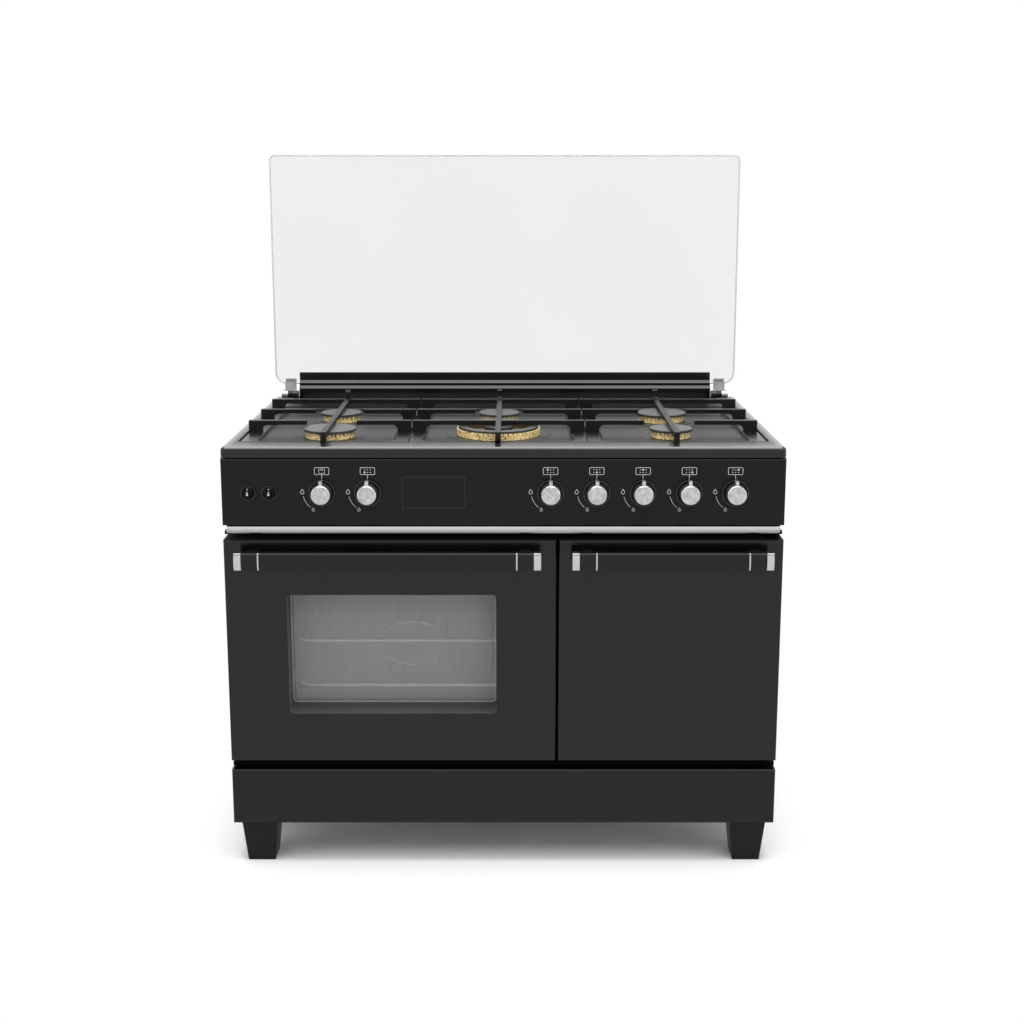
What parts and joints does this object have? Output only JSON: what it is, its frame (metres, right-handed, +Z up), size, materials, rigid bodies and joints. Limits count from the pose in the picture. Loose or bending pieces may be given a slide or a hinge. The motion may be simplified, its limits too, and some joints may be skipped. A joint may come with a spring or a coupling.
{
  "type": "gas cooker",
  "caption": "Wide free-standing gas cooker with a glass lid, brass burners under lift-off pan supports, a drop-down oven door, a cabinet beside it and a base drawer.",
  "frame": {"origin": "on the floor below the middle of the outline, handles and gas inlet included", "axes": "+Z up, the front faces -Y, +X to the right seen from the front"},
  "size_m": [1, 0.69, 1.301],
  "materials": {
    "black_enamel": "gloss enamel",
    "black_panel": "satin black",
    "carcass_steel": "satin",
    "zinc_sheet": "zinc plated",
    "oven_enamel": "grey enamel",
    "rack_wire": "plated wire",
    "chrome": "polished",
    "satin_silver": "satin",
    "brass": "cast brass",
    "cup_aluminium": "die cast",
    "burner_enamel": "matt enamel",
    "cast_support": "matt enamel",
    "black_plastic": "satin",
    "gloss_black": "gloss",
    "gasket_rubber": "matt",
    "clear_glass": "tinted",
    "lid_glass": "frosted"
  },
  "bodies": {
    "cooker_body": {"base_frame": "zinc_sheet", "side_panel_left": "carcass_steel", "side_panel_right": "carcass_steel", "back_panel": "zinc_sheet", "divider_panel": "carcass_steel", "front_frame": "carcass_steel", "oven_cavity": "oven_enamel", "oven_burner": "zinc_sheet", "oven_rack_upper": "rack_wire", "oven_rack_lower": "rack_wire", "oven_gasket": "gasket_rubber", "hob_top": "black_enamel", "control_panel": "black_panel", "display_window": "gloss_black", "chrome_trim": "chrome", "rear_upstand": "black_panel", "burner_cups": "cup_aluminium", "gas_manifold": "zinc_sheet", "control_bezels": "black_plastic", "lid_brackets": "black_plastic", "feet": "black_plastic", "oven_door_hinges": "zinc_sheet", "cabinet_door_hinges": "zinc_sheet", "left_front_crown": "brass", "left_front_cap": "burner_enamel", "left_rear_crown": "brass", "left_rear_cap": "burner_enamel", "centre_front_crown": "brass", "centre_front_cap": "burner_enamel", "centre_rear_crown": "brass", "centre_rear_cap": "burner_enamel", "right_front_crown": "brass", "right_front_cap": "burner_enamel", "right_rear_crown": "brass", "right_rear_cap": "burner_enamel"},
    "lid": {"lid_glass": "lid_glass", "lid_hinge_arms": "satin_silver"},
    "oven_door": {"oven_door_panel": "black_panel", "oven_door_liner": "carcass_steel", "oven_door_glass": "clear_glass", "oven_handle_bar": "black_plastic", "oven_handle_trim": "chrome"},
    "cabinet_door": {"cabinet_door_panel": "black_panel", "cabinet_door_liner": "carcass_steel", "cabinet_handle_bar": "black_plastic", "cabinet_handle_trim": "chrome"},
    "drawer": {"drawer_front": "black_panel", "drawer_tray": "zinc_sheet"},
    "pan_support_left": {"pan_support_left": "cast_support"},
    "pan_support_centre": {"pan_support_centre": "cast_support"},
    "pan_support_right": {"pan_support_right": "cast_support"},
    "knob_1": {"knob_1": "satin_silver"},
    "knob_2": {"knob_2": "satin_silver"},
    "knob_3": {"knob_3": "satin_silver"},
    "knob_4": {"knob_4": "satin_silver"},
    "knob_5": {"knob_5": "satin_silver"},
    "knob_6": {"knob_6": "satin_silver"},
    "knob_7": {"knob_7": "satin_silver"},
    "button_1": {"button_1": "gloss_black"},
    "button_2": {"button_2": "gloss_black"}
  },
  "joints": [
    {"name": "lid_hinge", "type": "hinge", "parent": "cooker_body", "child": "lid", "pos_m": [0, 0.248, 0.801], "axis": [-1, 0, 0], "range_deg": [-90, 0]},
    {"name": "oven_door_hinge", "type": "hinge", "parent": "cooker_body", "child": "oven_door", "pos_m": [0, -0.29, 0.209], "axis": [1, 0, 0], "range_deg": [0, 90]},
    {"name": "cabinet_door_hinge", "type": "hinge", "parent": "cooker_body", "child": "cabinet_door", "pos_m": [0.488, -0.29, 0.4], "axis": [0, 0, 1], "range_deg": [0, 110]},
    {"name": "drawer_slide", "type": "slide", "parent": "cooker_body", "child": "drawer", "axis": [0, -1, 0], "range_m": [0, 0.3]},
    {"name": "pan_support_left_lift", "type": "slide", "parent": "cooker_body", "child": "pan_support_left", "axis": [0, 0, 1], "range_m": [0, 0.06]},
    {"name": "pan_support_centre_lift", "type": "slide", "parent": "cooker_body", "child": "pan_support_centre", "axis": [0, 0, 1], "range_m": [0, 0.06]},
    {"name": "pan_support_right_lift", "type": "slide", "parent": "cooker_body", "child": "pan_support_right", "axis": [0, 0, 1], "range_m": [0, 0.06]},
    {"name": "knob_1_turn", "type": "hinge", "parent": "cooker_body", "child": "knob_1", "pos_m": [-0.321, -0.3, 0.705], "axis": [0, -1, 0], "range_deg": [0, 150]},
    {"name": "knob_2_turn", "type": "hinge", "parent": "cooker_body", "child": "knob_2", "pos_m": [-0.24, -0.3, 0.705], "axis": [0, -1, 0], "range_deg": [0, 150]},
    {"name": "knob_3_turn", "type": "hinge", "parent": "cooker_body", "child": "knob_3", "pos_m": [0.0835, -0.3, 0.705], "axis": [0, -1, 0], "range_deg": [0, 150]},
    {"name": "knob_4_turn", "type": "hinge", "parent": "cooker_body", "child": "knob_4", "pos_m": [0.1652, -0.3, 0.705], "axis": [0, -1, 0], "range_deg": [0, 150]},
    {"name": "knob_5_turn", "type": "hinge", "parent": "cooker_body", "child": "knob_5", "pos_m": [0.2469, -0.3, 0.705], "axis": [0, -1, 0], "range_deg": [0, 150]},
    {"name": "knob_6_turn", "type": "hinge", "parent": "cooker_body", "child": "knob_6", "pos_m": [0.3286, -0.3, 0.705], "axis": [0, -1, 0], "range_deg": [0, 150]},
    {"name": "knob_7_turn", "type": "hinge", "parent": "cooker_body", "child": "knob_7", "pos_m": [0.4103, -0.3, 0.705], "axis": [0, -1, 0], "range_deg": [0, 150]},
    {"name": "button_1_press", "type": "slide", "parent": "cooker_body", "child": "button_1", "axis": [0, 1, 0], "range_m": [0, 0.003], "stiffness_N_per_m": 300},
    {"name": "button_2_press", "type": "slide", "parent": "cooker_body", "child": "button_2", "axis": [0, 1, 0], "range_m": [0, 0.003], "stiffness_N_per_m": 300}
  ]
}
